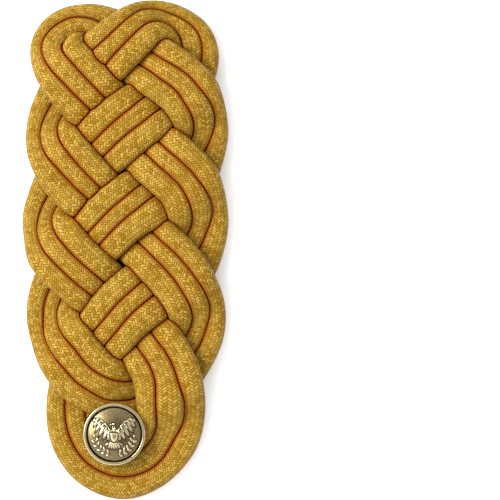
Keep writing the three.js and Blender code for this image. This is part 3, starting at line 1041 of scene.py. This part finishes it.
class KNOT_OT_button(Operator):
    """Press the gilt button and crimp it on its back plate"""

    bl_idname = "knot.button"
    bl_label = "Button"

    def execute(self, context):
        settings = context.scene.knot_button
        radius = settings.radius / MM
        ground_edge = radius - settings.rim_width / MM
        wall = settings.wall / MM
        edge = settings.edge_level / MM
        polished = gilt_material(settings, False)
        stippled = gilt_material(settings, True)

        bm = bmesh.new()
        crest = bm.verts.layers.float.new("crest")
        figure = ButtonFigure(bm, settings)
        dome = [(r, figure.dome(r, 0)) for r in np.linspace(0, ground_edge, 16)]
        under = [(r, figure.dome(r, 0) - wall) for r in np.linspace(radius - wall, 0, 8)]
        lip = edge + 2.5
        rim = [
            (ground_edge + 0.02, dome[-1][1] - 0.06), (ground_edge + 0.06, dome[-1][1] - 0.05),
            (ground_edge + 0.34, lip - 0.1), (ground_edge + 0.38, lip - 0.03),
            (ground_edge + 0.44, lip), (ground_edge + 0.5, lip),
            (radius - 0.28, lip - 0.04), (radius - 0.22, lip - 0.05),
            (radius - 0.12, lip - 0.1), (radius - 0.04, lip - 0.25), (radius, lip - 0.45),
            (radius, edge + 0.3), (radius - 0.08, edge + 0.1), (radius - 0.25, edge),
            (radius - wall, edge),
        ]
        spun(bm, dome + rim + under, 96)
        # Painted shade: the crest attribute is 0 in a thin ring at the foot of the rim, coloured
        # near-black.
        for vert in bm.verts:
            away = math.hypot(vert.co.x, vert.co.y)
            vert[crest] = float(not ground_edge - 0.01 < away < ground_edge + 0.1)
        for face in bm.faces:
            middle = face.calc_center_median()
            on_dome = abs(middle.z - figure.dome(middle.x, middle.y)) < 0.1
            face.material_index = int(on_dome and math.hypot(middle.x, middle.y) < ground_edge)
        for side in (-1, 1):
            figure.wing(side)
            figure.sprig(side)
        figure.bird()
        figure.shield()
        mesh = button_mesh(bm, "gilt_button")
        finished("gilt_button", mesh, "button_front", "gilt", polished, stippled)

        plate = radius - wall - 0.3
        top = edge + 0.6
        post = 1.2
        bm = bmesh.new()
        crest = bm.verts.layers.float.new("crest")
        spun(bm, [
            (0, top), (plate - 0.1, top), (plate, top - 0.1), (plate, edge + 0.1),
            (post + 1.5, edge - 1.2), (post + 0.3, edge - 1.35), (post, edge - 1.7), (post, 0.4),
            (post - 0.1, 0.3), (0, 0.3),
        ], 64)
        for vert in bm.verts:
            vert[crest] = 1
        finished("button_back", button_mesh(bm, "button_back"), "button_post", "gilt", polished)
        return {"FINISHED"}


class KNOT_OT_stage(Operator):
    """Set the floor, the soft lights and the camera"""

    bl_idname = "knot.stage"
    bl_label = "Stage"

    def execute(self, context):
        scene = context.scene
        settings = scene.knot_stage
        bm = bmesh.new()
        bmesh.ops.create_grid(bm, x_segments=1, y_segments=1, size=1.5)
        bmesh.ops.translate(bm, vec=(0, 0, -0.05 * MM), verts=bm.verts[:])
        mesh = mesh_from(bm, "floor")
        floor = bpy.data.objects.new("floor", mesh)
        scene.collection.objects.link(floor)
        mesh.materials.append(floor_material(settings))

        world = bpy.data.worlds.new("studio")
        scene.world = world
        world.use_nodes = True
        nodes = world.node_tree.nodes
        place = nodes.new("ShaderNodeTexCoord")
        split = nodes.new("ShaderNodeSeparateXYZ")
        tent = nodes.new("ShaderNodeValToRGB")
        tent.color_ramp.elements[0].color = (0.02, 0.02, 0.02, 1)
        tent.color_ramp.elements[1].color = (0.32, 0.32, 0.32, 1)
        for height, value in ((0.15, 0.05), (0.4, 1.0), (0.86, 1.0), (0.95, 0.32)):
            tent.color_ramp.elements.new(height).color = (value, value, value, 1)
        left = nodes.new("ShaderNodeMapRange")
        left.interpolation_type = "SMOOTHSTEP"
        brightest = settings.tent
        for key, value in (
                ("From Min", 0.5), ("From Max", -0.3),
                ("To Min", 0.6 * brightest), ("To Max", brightest)):
            left.inputs[key].default_value = value
        links = world.node_tree.links
        links.new(place.outputs["Generated"], split.inputs[0])
        links.new(split.outputs["X"], left.inputs["Value"])
        links.new(left.outputs["Result"], nodes["Background"].inputs["Strength"])
        links.new(split.outputs["Z"], tent.inputs[0])
        links.new(tent.outputs[0], nodes["Background"].inputs["Color"])

        data = bpy.data.lights.new("key", "AREA")
        data.energy = settings.key_power
        data.shape = "SQUARE"
        data.size = 0.45
        lamp = bpy.data.objects.new("key", data)
        scene.collection.objects.link(lamp)
        lamp.location = (-0.6, 0.25, 0.66)
        lamp.rotation_euler = (-lamp.location).to_track_quat("-Z", "Y").to_euler()

        plane = 7 * MM
        wide = FRAME_PIXELS * PIXEL_MM * MM
        x = (FRAME_PIXELS / 2 - MIDDLE_PIXEL[0]) * PIXEL_MM * MM + SHIFT[0] * MM
        y = (MIDDLE_PIXEL[1] - FRAME_PIXELS / 2) * PIXEL_MM * MM + SHIFT[1] * MM
        data = bpy.data.cameras.new("camera")
        data.sensor_width = 36
        data.lens = data.sensor_width * settings.camera_height / wide
        data.clip_start = 0.01
        data.clip_end = 10
        camera = bpy.data.objects.new("camera", data)
        scene.collection.objects.link(camera)
        camera.location = (x, y, plane + settings.camera_height)
        scene.camera = camera
        scene.view_settings.view_transform = "Standard"
        return {"FINISHED"}


class KNOT_PT_panel(Panel):
    """Lists the knot's pieces and their sizes"""

    bl_idname = "KNOT_PT_panel"
    bl_label = "Shoulder knot"
    bl_space_type = "VIEW_3D"
    bl_region_type = "UI"
    bl_category = "Shoulder knot"

    def draw(self, context):
        for operator, settings in (
            (KNOT_OT_stage, context.scene.knot_stage),
            (KNOT_OT_felt, context.scene.knot_felt),
            (KNOT_OT_cords, context.scene.knot_cords),
            (KNOT_OT_button, context.scene.knot_button),
        ):
            box = self.layout.box()
            box.operator(operator.bl_idname)
            for key in settings.bl_rna.properties.keys():
                if key not in ("rna_type", "name"):
                    box.prop(settings, key)


SETTINGS = {
    "knot_cords": KnotCordSettings,
    "knot_felt": KnotFeltSettings,
    "knot_button": KnotButtonSettings,
    "knot_stage": KnotStageSettings,
}
CLASSES = (
    *SETTINGS.values(),
    KNOT_OT_stage,
    KNOT_OT_felt,
    KNOT_OT_cords,
    KNOT_OT_button,
    KNOT_PT_panel,
)


def register():
    for cls in CLASSES:
        bpy.utils.register_class(cls)
    for name, cls in SETTINGS.items():
        setattr(bpy.types.Scene, name, PointerProperty(type=cls))


def unregister():
    for name in SETTINGS:
        delattr(bpy.types.Scene, name)
    for cls in reversed(CLASSES):
        bpy.utils.unregister_class(cls)


def main():
    register()
    bpy.ops.knot.stage()
    bpy.ops.knot.felt()
    bpy.ops.knot.cords()
    bpy.ops.knot.button()


if __name__ == "__main__":
    main()
